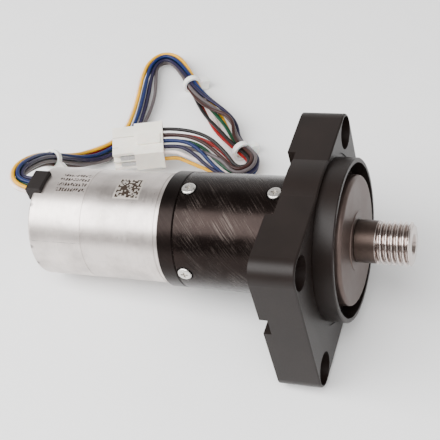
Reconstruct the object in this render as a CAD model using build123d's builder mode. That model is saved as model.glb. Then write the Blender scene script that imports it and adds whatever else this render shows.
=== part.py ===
from build123d import *
import math
import os

os.makedirs("parts", exist_ok=True)

# Planetary gearmotor with a four-lug flange, a threaded output shaft and a wiring harness.
# Frame: +X runs along the shaft towards its threaded end, +Z is up, millimetres.
# The origin is on the shaft axis, in the front face of the mounting flange.

# ---- driving dimensions -------------------------------------------------------------------
MOTOR_R = 21.0
MOTOR_WALL = 1.5
MOTOR_REAR = -116.0
CAP_SEAM = -93.5
MOTOR_FRONT = -61.5

GEARBOX_R = 22.0
GEARBOX_BORE_R = 19.5
ADAPTER_FRONT = -55.3
TUBE_FRONT = -11.0
SPIGOT_R = GEARBOX_BORE_R - 0.05
SPIGOT_INNER_R = 16.1

SCREW_REAR_X = -52.0
SCREW_FRONT_X = -19.0
SCREW_HEAD_R = 2.75
SCREW_HEAD_H = 1.9
SCREW_SINK = 1.2
SCREW_SHANK_R = 1.45
SCREW_TIP_R = 16.6

HOLE_SPACING_Y = 68.0
HOLE_SPACING_Z = 52.0
HOLE_CENTRE_Y = -2.8
HOLE_CENTRE_Z = -2.5
HOLE_R = 6.1
LUG_R = 7.0
PLATE_REAR = -13.0
PAD_REAR = -16.0
PAD_INNER_Y = 15.3
PAD_SLOT_LOW = -2.0
PAD_SLOT_HIGH = 5.5
BOSS_R = 31.8
PILOT_R = 29.8
PILOT_INNER_R = 28.1
PILOT_FRONT = 7.0
PILOT_FLOOR = 1.0
ROOT_GROOVE_R = 31.2
ROOT_GROOVE_DEPTH = 0.4

HUB_R = 23.7
HUB_REAR = 2.5
HUB_FRONT = 8.3
COLLAR_R = 7.75
COLLAR_END = 15.9
THREAD_R = 8.0
THREAD_PITCH = 2.0
THREAD_ROOT_R = 6.8
SHAFT_END = 28.3
SHAFT_R = 8.5

MODULE = 1.0
SUN_TEETH = 12
PLANET_TEETH = 12
RING_TEETH = SUN_TEETH + 2 * PLANET_TEETH
PRESSURE_ANGLE = math.radians(25)
ADDENDUM = 0.8 * MODULE
DEDENDUM = 0.9 * MODULE
BACKLASH = 0.12
PLANETS = 3
CENTRE_DISTANCE = MODULE * (SUN_TEETH + PLANET_TEETH) / 2
PIN_R = 2.0
PIN_CLEARANCE = 0.05

WIRE_D = 1.6

EPS = 0.05


def save(part, name):
    """Label one finished piece and write its STEP file."""
    part.label = name
    export_step(part, f"parts/{name}.step")


def ring_profile(x0, x1, r_in, r_out):
    """Rectangle of a ring's section, for a revolve about the shaft axis."""
    with Locations(((x0 + x1) / 2, (r_in + r_out) / 2)):
        Rectangle(x1 - x0, r_out - r_in)


def ring(x0, x1, r_in, r_out):
    """Plain ring or tube about the shaft axis."""
    with BuildPart() as piece:
        with BuildSketch(Plane.YZ.offset(x0)):
            Circle(r_out)
            if r_in:
                Circle(r_in, mode=Mode.SUBTRACT)
        extrude(amount=x1 - x0)
    return piece


# ---- bearings -----------------------------------------------------------------------------
def bearing(x0, width, bore_r, outer_r, ball_r, ball_count, name):
    """Deep groove ball bearing: inner ring, outer ring and balls as three pieces."""
    middle_x = x0 + width / 2
    pitch_r = (bore_r + outer_r) / 2
    land = ball_r * 0.62
    with BuildPart() as inner:
        with BuildSketch(Plane.XY):
            ring_profile(x0, x0 + width, bore_r, pitch_r - land)
            with Locations((middle_x, pitch_r)):
                Circle(ball_r + EPS, mode=Mode.SUBTRACT)
        revolve(axis=Axis.X)
    with BuildPart() as outer:
        with BuildSketch(Plane.XY):
            ring_profile(x0, x0 + width, pitch_r + land, outer_r)
            with Locations((middle_x, pitch_r)):
                Circle(ball_r + EPS, mode=Mode.SUBTRACT)
        revolve(axis=Axis.X)
    with BuildPart() as balls:
        with Locations(Plane.YZ.offset(middle_x)):
            with PolarLocations(pitch_r, ball_count):
                Sphere(ball_r)
    save(inner.part, f"{name}_inner_ring")
    save(outer.part, f"{name}_outer_ring")
    save(balls.part, f"{name}_balls")


# ---- gears --------------------------------------------------------------------------------
def involute(angle):
    return math.tan(angle) - angle


def polar_point(radius, angle):
    return (radius * math.cos(angle), radius * math.sin(angle))


def gear_outline(teeth, tip_r, root_r, slack, phase):
    """Closed outline of an involute gear; slack is taken off each tooth's thickness."""
    pitch_r = MODULE * teeth / 2
    base_r = pitch_r * math.cos(PRESSURE_ANGLE)
    start_r = max(base_r, root_r)
    radii = [start_r + (tip_r - start_r) * step / 3 for step in range(4)]

    def half_angle(radius):
        at_pitch = math.pi / (2 * teeth) - slack / (2 * pitch_r)
        return at_pitch + involute(PRESSURE_ANGLE) - involute(math.acos(base_r / radius))

    pitch_angle = 2 * math.pi / teeth
    foot = half_angle(start_r)
    tip = half_angle(tip_r)
    for tooth in range(teeth):
        centre = phase + tooth * pitch_angle
        rising = [polar_point(r, centre - half_angle(r)) for r in radii]
        falling = [polar_point(r, centre + half_angle(r)) for r in reversed(radii)]
        if root_r < start_r:
            Line(polar_point(root_r, centre - foot), rising[0])
            Line(falling[-1], polar_point(root_r, centre + foot))
        Spline(rising)
        ThreePointArc(rising[-1], polar_point(tip_r, centre), polar_point(tip_r, centre + tip))
        Spline(falling)
        root_end = centre + pitch_angle - foot
        ThreePointArc(
            polar_point(root_r, centre + foot),
            polar_point(root_r, centre + pitch_angle / 2),
            polar_point(root_r, root_end),
        )


def spur_gear(x0, x1, teeth, bore_r, phase, centre=(0, 0)):
    """External gear about an axis parallel to X through centre (y, z)."""
    pitch_r = MODULE * teeth / 2
    plane = Plane.YZ.offset(x0).shift_origin((x0, centre[0], centre[1]))
    with BuildPart() as gear:
        with BuildSketch(plane):
            with BuildLine():
                gear_outline(teeth, pitch_r + ADDENDUM, pitch_r - DEDENDUM, BACKLASH / 2, phase)
            make_face()
            Circle(bore_r, mode=Mode.SUBTRACT)
        extrude(amount=x1 - x0)
    return gear


def planet_centres():
    return [
        polar_point(CENTRE_DISTANCE, math.radians(360 / PLANETS * index))
        for index in range(PLANETS)
    ]


def planet_stage(x0, x1, stage):
    """Three planets, each its own piece, with a gap facing the sun's tooth."""
    half_pitch = math.pi / PLANET_TEETH
    for index, centre in enumerate(planet_centres(), start=1):
        bore_r = PIN_R + PIN_CLEARANCE
        planet = spur_gear(x0, x1, PLANET_TEETH, bore_r, half_pitch, centre)
        save(planet.part, f"stage{stage}_planet_{index}")


def planet_pins(x0, x1, name):
    with BuildPart() as pins:
        with BuildSketch(Plane.YZ.offset(x0)):
            with PolarLocations(CENTRE_DISTANCE, PLANETS):
                Circle(PIN_R)
        extrude(amount=x1 - x0)
        chamfer(pins.edges().filter_by(GeomType.CIRCLE), length=0.3)
    save(pins.part, name)


def carrier(x0, x1, outer_r, hub_r, name):
    """Planet carrier: a lobed disc with three pin holes and a hub bore."""
    with BuildPart() as disc:
        with BuildSketch(Plane.YZ.offset(x0)):
            Circle(outer_r)
            with PolarLocations(outer_r + 1.5, PLANETS, start_angle=60):
                Circle(5.0, mode=Mode.SUBTRACT)
            with PolarLocations(CENTRE_DISTANCE, PLANETS):
                Circle(PIN_R, mode=Mode.SUBTRACT)
            Circle(hub_r, mode=Mode.SUBTRACT)
        extrude(amount=x1 - x0)
    save(disc.part, name)


STAGE1_REAR = -47.0
STAGE1_FRONT = -38.0
CARRIER1_REAR = -37.5
CARRIER1_FRONT = -34.5
STAGE2_REAR = -33.8
STAGE2_FRONT = -24.8
CARRIER2_REAR = -24.3
CARRIER2_FRONT = -20.4
CARRIER_R = 15.4
ROTOR_SHAFT_R = 2.5
SUN2_BORE_R = 3.0
HUB_SEAT_R = 6.0

pinion = spur_gear(STAGE1_REAR - 0.5, STAGE1_FRONT, SUN_TEETH, ROTOR_SHAFT_R, 0)
save(pinion.part, "motor_pinion")
planet_stage(STAGE1_REAR, STAGE1_FRONT, 1)
planet_pins(STAGE1_REAR - 0.3, CARRIER1_FRONT, "stage1_planet_pins")
carrier(CARRIER1_REAR, CARRIER1_FRONT, CARRIER_R, SUN2_BORE_R, "stage1_carrier")

# the second sun has a plain stub that is pressed through the first carrier
with BuildPart() as stage2_sun:
    with BuildSketch(Plane.YZ.offset(CARRIER1_FRONT)):
        with BuildLine():
            sun_r = MODULE * SUN_TEETH / 2
            gear_outline(SUN_TEETH, sun_r + ADDENDUM, sun_r - DEDENDUM, BACKLASH / 2, 0)
        make_face()
    extrude(amount=STAGE2_FRONT - CARRIER1_FRONT)
    with BuildSketch(Plane.YZ.offset(CARRIER1_REAR)):
        Circle(SUN2_BORE_R)
    extrude(amount=CARRIER1_FRONT - CARRIER1_REAR)
save(stage2_sun.part, "stage2_sun")

planet_stage(STAGE2_REAR, STAGE2_FRONT, 2)
planet_pins(STAGE2_REAR - 0.3, CARRIER2_FRONT, "stage2_planet_pins")
carrier(CARRIER2_REAR, CARRIER2_FRONT, CARRIER_R, HUB_SEAT_R, "stage2_carrier")

# ---- gearbox housing ----------------------------------------------------------------------
RING_GEAR_REAR = -48.6
RING_GEAR_FRONT = -24.6


def screw_planes(x, radius):
    """Four planes facing outwards at a radius, above, below and at both sides."""
    directions = [(0, 0, 1), (0, -1, 0), (0, 0, -1), (0, 1, 0)]
    return [
        Plane(origin=(x, y * radius, z * radius), x_dir=(1, 0, 0), z_dir=(0, y, z))
        for _, y, z in directions
    ]


with BuildPart() as gearbox_housing:
    with BuildSketch(Plane.YZ.offset(ADAPTER_FRONT)):
        Circle(GEARBOX_R)
        Circle(GEARBOX_BORE_R, mode=Mode.SUBTRACT)
    extrude(amount=TUBE_FRONT - ADAPTER_FRONT)
    chamfer(gearbox_housing.edges().group_by(Axis.X)[0].sort_by(SortBy.RADIUS)[-1], length=0.4)
    with BuildSketch(Plane.YZ.offset(RING_GEAR_REAR)):
        Circle(GEARBOX_BORE_R)
        with BuildLine():
            gap_root_r = MODULE * RING_TEETH / 2 - ADDENDUM
            gap_tip_r = MODULE * RING_TEETH / 2 + DEDENDUM
            half_ring_pitch = math.pi / RING_TEETH
            gear_outline(RING_TEETH, gap_tip_r, gap_root_r, -BACKLASH / 2, half_ring_pitch)
        make_face(mode=Mode.SUBTRACT)
    extrude(amount=RING_GEAR_FRONT - RING_GEAR_REAR)
    for screw_x in (SCREW_REAR_X, SCREW_FRONT_X):
        for plane in screw_planes(screw_x, GEARBOX_R):
            with BuildSketch(plane):
                Circle(SCREW_HEAD_R + 0.45)
            extrude(amount=-SCREW_SINK, mode=Mode.SUBTRACT)
            with BuildSketch(plane):
                Circle(SCREW_SHANK_R + EPS)
            extrude(amount=-(GEARBOX_R - GEARBOX_BORE_R + 0.6), mode=Mode.SUBTRACT)
save(gearbox_housing.part, "gearbox_housing")


def radial_screws(x, name):
    """Four pan-head screws with a cross recess, set radially into the tube."""
    with BuildPart() as screws:
        for plane in screw_planes(x, GEARBOX_R - SCREW_SINK):
            with BuildSketch(plane):
                Circle(SCREW_HEAD_R)
            extrude(amount=SCREW_HEAD_H)
            with BuildSketch(plane):
                Circle(SCREW_SHANK_R)
            extrude(amount=-(GEARBOX_R - SCREW_SINK - SCREW_TIP_R))
        tops = screws.faces().filter_by(GeomType.PLANE).filter_by(
            lambda face: abs(face.center().Y) > GEARBOX_R or abs(face.center().Z) > GEARBOX_R
        )
        fillet(tops.edges(), radius=0.8)
        for plane in screw_planes(x, GEARBOX_R - SCREW_SINK + SCREW_HEAD_H):
            with BuildSketch(plane):
                Rectangle(2.7, 0.6)
                Rectangle(0.6, 2.7)
            extrude(amount=-1.1, mode=Mode.SUBTRACT)
    save(screws.part, name)


radial_screws(SCREW_REAR_X, "gearbox_rear_screws")
radial_screws(SCREW_FRONT_X, "gearbox_front_screws")


# ---- adapter between motor and gearbox ----------------------------------------------------
ADAPTER_WEB_FRONT = -58.3
ADAPTER_HOLE_R = 8.1
SPIGOT_REAR_END = -48.8
MOUNT_SCREW_PCD_R = 12.5
MOUNT_SCREW_HEAD_R = 2.6
MOUNT_SCREW_HEAD_H = 2.2
MOUNT_SCREW_R = 1.5

with BuildPart() as gearbox_adapter:
    with BuildSketch(Plane.XY):
        ring_profile(MOTOR_FRONT, ADAPTER_FRONT, SPIGOT_INNER_R, GEARBOX_R)
        ring_profile(MOTOR_FRONT, ADAPTER_WEB_FRONT, ADAPTER_HOLE_R, GEARBOX_R)
        ring_profile(ADAPTER_FRONT, SPIGOT_REAR_END, SPIGOT_INNER_R, SPIGOT_R)
    revolve(axis=Axis.X)
    rims = gearbox_adapter.edges().filter_by(GeomType.CIRCLE).sort_by(SortBy.RADIUS)
    chamfer(rims[-2:], length=0.35)
    for plane in screw_planes(SCREW_REAR_X, SPIGOT_R + 0.5):
        with BuildSketch(plane):
            Circle(SCREW_SHANK_R)
        extrude(amount=-(SPIGOT_R + 0.5 - SCREW_TIP_R), mode=Mode.SUBTRACT)
    with BuildSketch(Plane.YZ.offset(MOTOR_FRONT)):
        with PolarLocations(MOUNT_SCREW_PCD_R, 4, start_angle=45):
            Circle(MOUNT_SCREW_R + EPS)
    extrude(amount=ADAPTER_WEB_FRONT - MOTOR_FRONT, mode=Mode.SUBTRACT)
save(gearbox_adapter.part, "gearbox_adapter")

with BuildPart() as motor_mount_screws:
    with BuildSketch(Plane.YZ.offset(ADAPTER_WEB_FRONT)):
        with PolarLocations(MOUNT_SCREW_PCD_R, 4, start_angle=45):
            Circle(MOUNT_SCREW_HEAD_R)
    extrude(amount=MOUNT_SCREW_HEAD_H)
    with BuildSketch(Plane.YZ.offset(ADAPTER_WEB_FRONT)):
        with PolarLocations(MOUNT_SCREW_PCD_R, 4, start_angle=45):
            Circle(MOUNT_SCREW_R)
    extrude(amount=-(ADAPTER_WEB_FRONT - MOTOR_FRONT + 3.5))
    with BuildSketch(Plane.YZ.offset(ADAPTER_WEB_FRONT + MOUNT_SCREW_HEAD_H)):
        with PolarLocations(MOUNT_SCREW_PCD_R, 4, start_angle=45):
            RegularPolygon(radius=1.4, side_count=6)
    extrude(amount=-1.3, mode=Mode.SUBTRACT)
save(motor_mount_screws.part, "motor_mount_screws")

# ---- mounting flange ----------------------------------------------------------------------
REAR_BEARING_X = -20.0
REAR_BEARING_W = 5.0
REAR_BEARING_R = 13.0
FRONT_BEARING_X = -12.0
FRONT_BEARING_W = 10.0
FRONT_BEARING_R = 17.5
SHOULDER_R = 11.2
RETAINER_X = -2.0
RETAINER_W = 1.5
RETAINER_GROOVE_R = 18.4
SPIGOT_END = -23.0

plate_y = HOLE_SPACING_Y + 2 * LUG_R
plate_z = HOLE_SPACING_Z + 2 * LUG_R
hole_centre = (HOLE_CENTRE_Y, HOLE_CENTRE_Z)

with BuildPart() as mounting_flange:
    # plate with the four lugs, and the round boss
    with BuildSketch(Plane.YZ.offset(PLATE_REAR)):
        with Locations(hole_centre):
            RectangleRounded(plate_y, plate_z, LUG_R)
        Circle(BOSS_R)
    extrude(amount=-PLATE_REAR)
    # raised pads behind the two short sides
    with BuildSketch(Plane.YZ.offset(PAD_REAR)):
        with Locations(hole_centre):
            RectangleRounded(plate_y, plate_z, LUG_R)
            Rectangle(2 * PAD_INNER_Y, plate_z, mode=Mode.SUBTRACT)
    extrude(amount=PLATE_REAR - PAD_REAR)
    chamfer(mounting_flange.edges().group_by(Axis.X)[-1], length=0.5)
    # pilot ring
    with BuildSketch(Plane.YZ):
        Circle(PILOT_R)
    extrude(amount=PILOT_FRONT)
    chamfer(mounting_flange.edges().group_by(Axis.X)[-1], length=0.35)
    with BuildSketch(Plane.YZ):
        Circle(ROOT_GROOVE_R)
        Circle(PILOT_R, mode=Mode.SUBTRACT)
    extrude(amount=-ROOT_GROOVE_DEPTH, mode=Mode.SUBTRACT)
    # spigot that holds the gearbox tube
    with BuildSketch(Plane.YZ.offset(SPIGOT_END)):
        Circle(SPIGOT_R)
    extrude(amount=PLATE_REAR - SPIGOT_END)
    with BuildSketch(Plane.YZ.offset(PAD_REAR)):
        Circle(GEARBOX_R + EPS)
        Circle(SPIGOT_R, mode=Mode.SUBTRACT)
    extrude(amount=TUBE_FRONT - PAD_REAR, mode=Mode.SUBTRACT)
    # stepped bore for the two bearings
    with BuildSketch(Plane.XY):
        ring_profile(SPIGOT_END, REAR_BEARING_X, 0, SPIGOT_INNER_R)
        ring_profile(REAR_BEARING_X, REAR_BEARING_X + REAR_BEARING_W, 0, REAR_BEARING_R)
        ring_profile(REAR_BEARING_X + REAR_BEARING_W, FRONT_BEARING_X, 0, SHOULDER_R)
        ring_profile(FRONT_BEARING_X, PILOT_FLOOR, 0, FRONT_BEARING_R)
        ring_profile(RETAINER_X, RETAINER_X + RETAINER_W, 0, RETAINER_GROOVE_R)
        ring_profile(PILOT_FLOOR, PILOT_FRONT, 0, PILOT_INNER_R)
    revolve(axis=Axis.X, mode=Mode.SUBTRACT)
    # bolt holes, the slot across the rear pads and the tube screws' threads
    with BuildSketch(Plane.YZ.offset(PAD_REAR)):
        with Locations(hole_centre):
            with GridLocations(HOLE_SPACING_Y, HOLE_SPACING_Z, 2, 2):
                Circle(HOLE_R)
    extrude(amount=-PAD_REAR, mode=Mode.SUBTRACT)
    with BuildSketch(Plane.YZ.offset(PAD_REAR)):
        with Locations((HOLE_CENTRE_Y, (PAD_SLOT_LOW + PAD_SLOT_HIGH) / 2)):
            Rectangle(plate_y + 2, PAD_SLOT_HIGH - PAD_SLOT_LOW)
    extrude(amount=PLATE_REAR - PAD_REAR, mode=Mode.SUBTRACT)
    for plane in screw_planes(SCREW_FRONT_X, SPIGOT_R + 0.5):
        with BuildSketch(plane):
            Circle(SCREW_SHANK_R)
        extrude(amount=-(SPIGOT_R + 0.5 - SCREW_TIP_R), mode=Mode.SUBTRACT)
save(mounting_flange.part, "mounting_flange")

# ---- output bearings, seal and retaining ring ---------------------------------------------
bearing(REAR_BEARING_X, REAR_BEARING_W, SHAFT_R, REAR_BEARING_R, 1.2, 15, "output_rear_bearing")
bearing(FRONT_BEARING_X, FRONT_BEARING_W, SHAFT_R, FRONT_BEARING_R, 2.4, 10, "output_front_bearing")

SPACER_R = 10.6
spacer = ring(REAR_BEARING_X + REAR_BEARING_W, FRONT_BEARING_X, SHAFT_R, SPACER_R)
save(spacer.part, "bearing_spacer")

SEAL_X = RETAINER_X + RETAINER_W
SEAL_LIP_GAP = 0.08
with BuildPart() as shaft_seal:
    with BuildSketch(Plane.XY):
        ring_profile(SEAL_X, PILOT_FLOOR, SHAFT_R + SEAL_LIP_GAP, FRONT_BEARING_R)
        ring_profile(SEAL_X + 0.7, PILOT_FLOOR + 0.5, SHAFT_R + SEAL_LIP_GAP, SHAFT_R + 1.2)
    revolve(axis=Axis.X)
save(shaft_seal.part, "shaft_seal")

with BuildPart() as retaining_ring:
    with BuildSketch(Plane.YZ.offset(RETAINER_X)):
        Circle(RETAINER_GROOVE_R - EPS)
        Circle(15.6, mode=Mode.SUBTRACT)
        with Locations((0, -17)):
            Rectangle(7, 6, mode=Mode.SUBTRACT)
        with PolarLocations(15.9, 2, start_angle=-90 - 16, angular_range=32, endpoint=True):
            Circle(1.5)
            Circle(0.7, mode=Mode.SUBTRACT)
    extrude(amount=RETAINER_W)
save(retaining_ring.part, "retaining_ring")

# ---- output shaft and hub -----------------------------------------------------------------
THREAD_TURNS = 6
CREST_HALF = 0.2
ROOT_HALF = 0.85
END_CHAMFER = 1.0
CENTRE_HOLE_R = 4.0
CENTRE_DRILL_R = 1.8
CENTRE_DRILL_DEPTH = 9.0

first_crest_x = COLLAR_END + 1.1
with BuildPart() as output_shaft:
    with BuildSketch(Plane.XY):
        with BuildLine():
            outline = [
                (CARRIER2_REAR, 0),
                (CARRIER2_REAR, HUB_SEAT_R),
                (CARRIER2_FRONT, HUB_SEAT_R),
                (CARRIER2_FRONT, SHAFT_R),
                (HUB_FRONT, SHAFT_R),
                (HUB_FRONT, COLLAR_R),
                (COLLAR_END, COLLAR_R),
                (COLLAR_END + 0.2, THREAD_ROOT_R),
            ]
            for turn in range(THREAD_TURNS):
                crest_x = first_crest_x + turn * THREAD_PITCH
                outline.append((crest_x - ROOT_HALF, THREAD_ROOT_R))
                outline.append((crest_x - CREST_HALF, THREAD_R))
                outline.append((crest_x + CREST_HALF, THREAD_R))
                if turn < THREAD_TURNS - 1:
                    outline.append((crest_x + ROOT_HALF, THREAD_ROOT_R))
            outline.append((SHAFT_END, THREAD_R - END_CHAMFER))
            outline.append((SHAFT_END, 0))
            Polyline(outline, close=True)
        make_face()
    revolve(axis=Axis.X)
    with BuildSketch(Plane.XY):
        with BuildLine():
            cone_depth = CENTRE_HOLE_R - CENTRE_DRILL_R
            Polyline(
                (SHAFT_END, 0),
                (SHAFT_END, CENTRE_HOLE_R),
                (SHAFT_END - cone_depth, CENTRE_DRILL_R),
                (SHAFT_END - CENTRE_DRILL_DEPTH, CENTRE_DRILL_R),
                (SHAFT_END - CENTRE_DRILL_DEPTH - 1.0, 0),
                close=True,
            )
        make_face()
    revolve(axis=Axis.X, mode=Mode.SUBTRACT)
save(output_shaft.part, "output_shaft")

HUB_RAISED_R = 11.0
HUB_RAISED_H = 0.35
with BuildPart() as output_hub:
    with BuildSketch(Plane.YZ.offset(HUB_REAR)):
        Circle(HUB_R)
    extrude(amount=HUB_FRONT - HUB_RAISED_H - HUB_REAR)
    fillet(output_hub.edges().group_by(Axis.X)[-1], radius=1.4)
    chamfer(output_hub.edges().group_by(Axis.X)[0], length=0.5)
    with BuildSketch(Plane.YZ.offset(HUB_FRONT - HUB_RAISED_H)):
        Circle(HUB_RAISED_R)
    extrude(amount=HUB_RAISED_H, taper=30)
    with BuildSketch(Plane.YZ.offset(HUB_REAR)):
        Circle(SHAFT_R)
    extrude(amount=HUB_FRONT - HUB_REAR, mode=Mode.SUBTRACT)
save(output_hub.part, "output_hub")

# ---- motor --------------------------------------------------------------------------------
MOTOR_BORE_R = MOTOR_R - MOTOR_WALL
MOTOR_BEARING_W = 4.0
MOTOR_BEARING_R = 6.5
REAR_MOTOR_BEARING_X = MOTOR_REAR + 1.6
BELL_REAR = -66.0
GROMMET_HALF_Y = 5.2
GROMMET_LOW_Z = 16.5
GROMMET_TOP_Z = 22.4
GROMMET_REAR = -118.5
GROMMET_FRONT = -112.0

with BuildPart() as motor_can:
    with BuildSketch(Plane.XY):
        ring_profile(CAP_SEAM, MOTOR_FRONT, MOTOR_BORE_R, MOTOR_R)
        ring_profile(MOTOR_FRONT - 1.9, MOTOR_FRONT - 1.5, MOTOR_R - 0.2, MOTOR_R)
    revolve(axis=Axis.X)
    with BuildSketch(Plane.XY):
        ring_profile(MOTOR_FRONT - 1.9, MOTOR_FRONT - 1.5, MOTOR_R - 0.2, MOTOR_R + 0.1)
        ring_profile(CAP_SEAM, CAP_SEAM + 0.25, MOTOR_R - 0.15, MOTOR_R + 0.1)
    revolve(axis=Axis.X, mode=Mode.SUBTRACT)
save(motor_can.part, "motor_can")

with BuildPart() as rear_end_cap:
    with BuildSketch(Plane.YZ.offset(MOTOR_REAR)):
        Circle(MOTOR_R)
    extrude(amount=CAP_SEAM - MOTOR_REAR)
    fillet(rear_end_cap.edges().group_by(Axis.X)[0], radius=1.2)
    with BuildSketch(Plane.YZ.offset(MOTOR_REAR + MOTOR_WALL)):
        Circle(MOTOR_BORE_R)
        Circle(MOTOR_BEARING_R + 1.6, mode=Mode.SUBTRACT)
    extrude(amount=CAP_SEAM - MOTOR_REAR - MOTOR_WALL, mode=Mode.SUBTRACT)
    with BuildSketch(Plane.YZ.offset(REAR_MOTOR_BEARING_X)):
        Circle(MOTOR_BEARING_R)
    extrude(amount=CAP_SEAM - REAR_MOTOR_BEARING_X, mode=Mode.SUBTRACT)
    boss_end_x = REAR_MOTOR_BEARING_X + MOTOR_BEARING_W
    with BuildSketch(Plane.YZ.offset(boss_end_x)):
        Circle(MOTOR_BEARING_R + 1.7)
    extrude(amount=CAP_SEAM - boss_end_x, mode=Mode.SUBTRACT)
    with BuildSketch(Plane.YZ.offset(MOTOR_REAR)):
        with Locations((0, GROMMET_LOW_Z + 5)):
            Rectangle(2 * GROMMET_HALF_Y, 10)
    extrude(amount=GROMMET_FRONT - MOTOR_REAR, mode=Mode.SUBTRACT)
save(rear_end_cap.part, "rear_end_cap")

with BuildPart() as wire_grommet:
    with BuildSketch(Plane.YZ.offset(GROMMET_REAR)):
        with Locations((0, (GROMMET_LOW_Z + GROMMET_TOP_Z) / 2)):
            Rectangle(2 * GROMMET_HALF_Y, GROMMET_TOP_Z - GROMMET_LOW_Z)
    extrude(amount=GROMMET_FRONT - GROMMET_REAR)
    fillet(wire_grommet.edges().group_by(Axis.Z)[-1], radius=0.5)
save(wire_grommet.part, "wire_grommet")

with BuildPart() as front_bell:
    with BuildSketch(Plane.XY):
        ring_profile(BELL_REAR, MOTOR_FRONT, 0, MOTOR_BORE_R)
        ring_profile(MOTOR_FRONT, MOTOR_FRONT + 1.5, 0, ADAPTER_HOLE_R - EPS)
    revolve(axis=Axis.X)
    with BuildSketch(Plane.XY):
        ring_profile(BELL_REAR, BELL_REAR + MOTOR_BEARING_W, 0, MOTOR_BEARING_R)
        ring_profile(BELL_REAR, MOTOR_FRONT + 1.5, 0, ROTOR_SHAFT_R + 0.5)
    revolve(axis=Axis.X, mode=Mode.SUBTRACT)
    with BuildSketch(Plane.YZ.offset(MOTOR_FRONT)):
        with PolarLocations(MOUNT_SCREW_PCD_R, 4, start_angle=45):
            Circle(MOUNT_SCREW_R)
    extrude(amount=-4.0, mode=Mode.SUBTRACT)
save(front_bell.part, "front_bell")

bearing(REAR_MOTOR_BEARING_X, MOTOR_BEARING_W, ROTOR_SHAFT_R, MOTOR_BEARING_R, 0.9, 8, "motor_rear_bearing")
bearing(BELL_REAR, MOTOR_BEARING_W, ROTOR_SHAFT_R, MOTOR_BEARING_R, 0.9, 8, "motor_front_bearing")

STATOR_REAR = -104.0
STATOR_FRONT = -78.0
STATOR_BORE_R = 11.6
STATOR_SLOTS = 9
TOOTH_W = 3.0
SLOT_INNER_R = 12.8
SLOT_OUTER_R = 16.8

with BuildPart() as stator_core:
    with BuildSketch(Plane.YZ.offset(STATOR_REAR)):
        Circle(MOTOR_BORE_R)
        Circle(STATOR_BORE_R, mode=Mode.SUBTRACT)
        slot_low = SLOT_INNER_R * math.tan(math.pi / STATOR_SLOTS) - TOOTH_W / 2 - 0.4
        slot_high = SLOT_OUTER_R * math.tan(math.pi / STATOR_SLOTS) - TOOTH_W / 2 - 0.4
        slot_corners = [
            (STATOR_BORE_R - 1, -1.0),
            (SLOT_INNER_R - 0.4, -1.0),
            (SLOT_INNER_R, -slot_low),
            (SLOT_OUTER_R, -slot_high),
            (SLOT_OUTER_R, slot_high),
            (SLOT_INNER_R, slot_low),
            (SLOT_INNER_R - 0.4, 1.0),
            (STATOR_BORE_R - 1, 1.0),
        ]
        with PolarLocations(0, STATOR_SLOTS):
            Polygon(slot_corners, align=None, mode=Mode.SUBTRACT)
    extrude(amount=STATOR_FRONT - STATOR_REAR)
save(stator_core.part, "stator_core")

COIL_OVERHANG = 2.6
COIL_INNER_R = 13.2
COIL_OUTER_R = 16.4
COIL_W = 7.0
with BuildPart() as stator_windings:
    for coil in range(STATOR_SLOTS):
        angle = 360 / STATOR_SLOTS * (coil + 0.5) - 90
        outward = Plane(origin=((STATOR_REAR + STATOR_FRONT) / 2, 0, 0), x_dir=(1, 0, 0), z_dir=(0, 0, 1))
        outward = outward.rotated((angle, 0, 0)).offset(COIL_INNER_R)
        length = STATOR_FRONT - STATOR_REAR
        with BuildSketch(outward):
            RectangleRounded(length + 2 * COIL_OVERHANG, COIL_W, 1.6)
            Rectangle(length + 2 * EPS, TOOTH_W + 1.0, mode=Mode.SUBTRACT)
        extrude(amount=COIL_OUTER_R - COIL_INNER_R)
save(stator_windings.part, "stator_windings")

ROTOR_R = 8.6
MAGNET_R = 10.9
MAGNETS = 8
ROTOR_REAR = -103.0
ROTOR_FRONT = -79.0
rotor_core = ring(ROTOR_REAR, ROTOR_FRONT, ROTOR_SHAFT_R, ROTOR_R)
save(rotor_core.part, "rotor_core")

with BuildPart() as rotor_magnets:
    with BuildSketch(Plane.YZ.offset(ROTOR_REAR)):
        Circle(MAGNET_R)
        Circle(ROTOR_R, mode=Mode.SUBTRACT)
        with PolarLocations(MAGNET_R, MAGNETS):
            Rectangle(8, 0.5, mode=Mode.SUBTRACT)
    extrude(amount=ROTOR_FRONT - ROTOR_REAR)
save(rotor_magnets.part, "rotor_magnets")

with BuildPart() as rotor_shaft:
    with BuildSketch(Plane.YZ.offset(REAR_MOTOR_BEARING_X + 0.2)):
        Circle(ROTOR_SHAFT_R)
    extrude(amount=STAGE1_FRONT - REAR_MOTOR_BEARING_X - 0.2)
    chamfer(rotor_shaft.edges().filter_by(GeomType.CIRCLE), length=0.3)
save(rotor_shaft.part, "rotor_shaft")

BOARD_REAR = -109.4
BOARD_FRONT = -108.2
with BuildPart() as hall_sensor_board:
    with BuildSketch(Plane.YZ.offset(BOARD_REAR)):
        Circle(MOTOR_BORE_R)
        Circle(8.0, mode=Mode.SUBTRACT)
        with Locations((0, MOTOR_BORE_R)):
            Rectangle(9, 6, mode=Mode.SUBTRACT)
    extrude(amount=BOARD_FRONT - BOARD_REAR)
save(hall_sensor_board.part, "hall_sensor_board")

with BuildPart() as hall_sensors:
    with BuildSketch(Plane.YZ.offset(BOARD_FRONT)):
        with PolarLocations(10.4, 3, start_angle=50, angular_range=80, endpoint=True):
            Rectangle(3.0, 4.0)
    extrude(amount=1.5)
    chamfer(hall_sensors.faces().group_by(Axis.X)[-1].edges(), length=0.3)
save(hall_sensors.part, "hall_sensors")

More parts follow.
